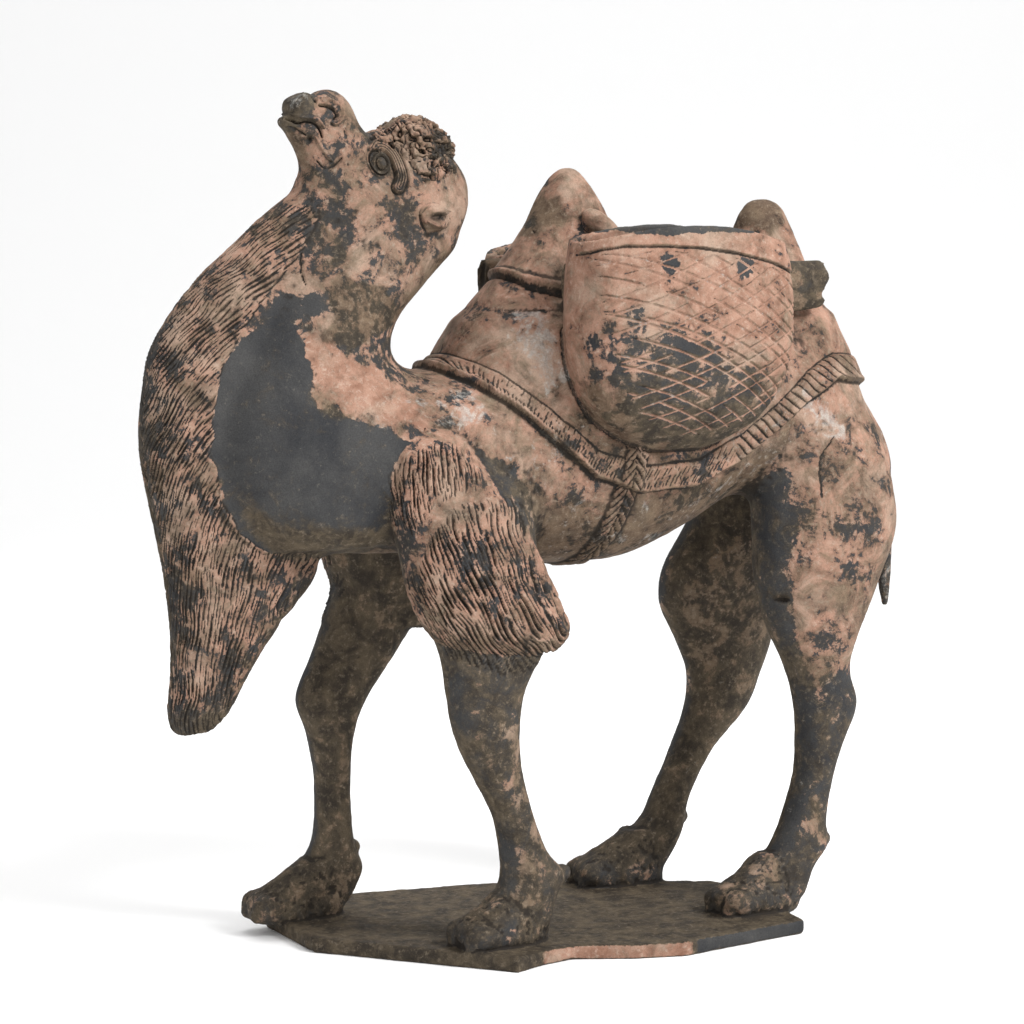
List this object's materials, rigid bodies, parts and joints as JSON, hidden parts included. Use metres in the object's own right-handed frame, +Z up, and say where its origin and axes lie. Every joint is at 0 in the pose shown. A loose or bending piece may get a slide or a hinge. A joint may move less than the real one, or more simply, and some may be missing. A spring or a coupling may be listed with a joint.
{
  "type": "pottery camel figure",
  "caption": "Standing two-humped pack camel in painted grey pottery, head thrown back, long carved mane and leg tufts, saddle cloth and scored pannier baskets, on a thin slab.",
  "frame": {"origin": "in the slab's flat underside, at the middle of the four feet", "axes": "+Z up; the camel faces -X; its near (left) side is towards -Y"},
  "size_m": [0.4045, 0.1742, 0.4015],
  "materials": {
    "pottery": "matte unglazed grey pottery with worn pink pigment and earth"
  },
  "bodies": {
    "root": {"camel_figure": "pottery"}
  },
  "joints": []
}
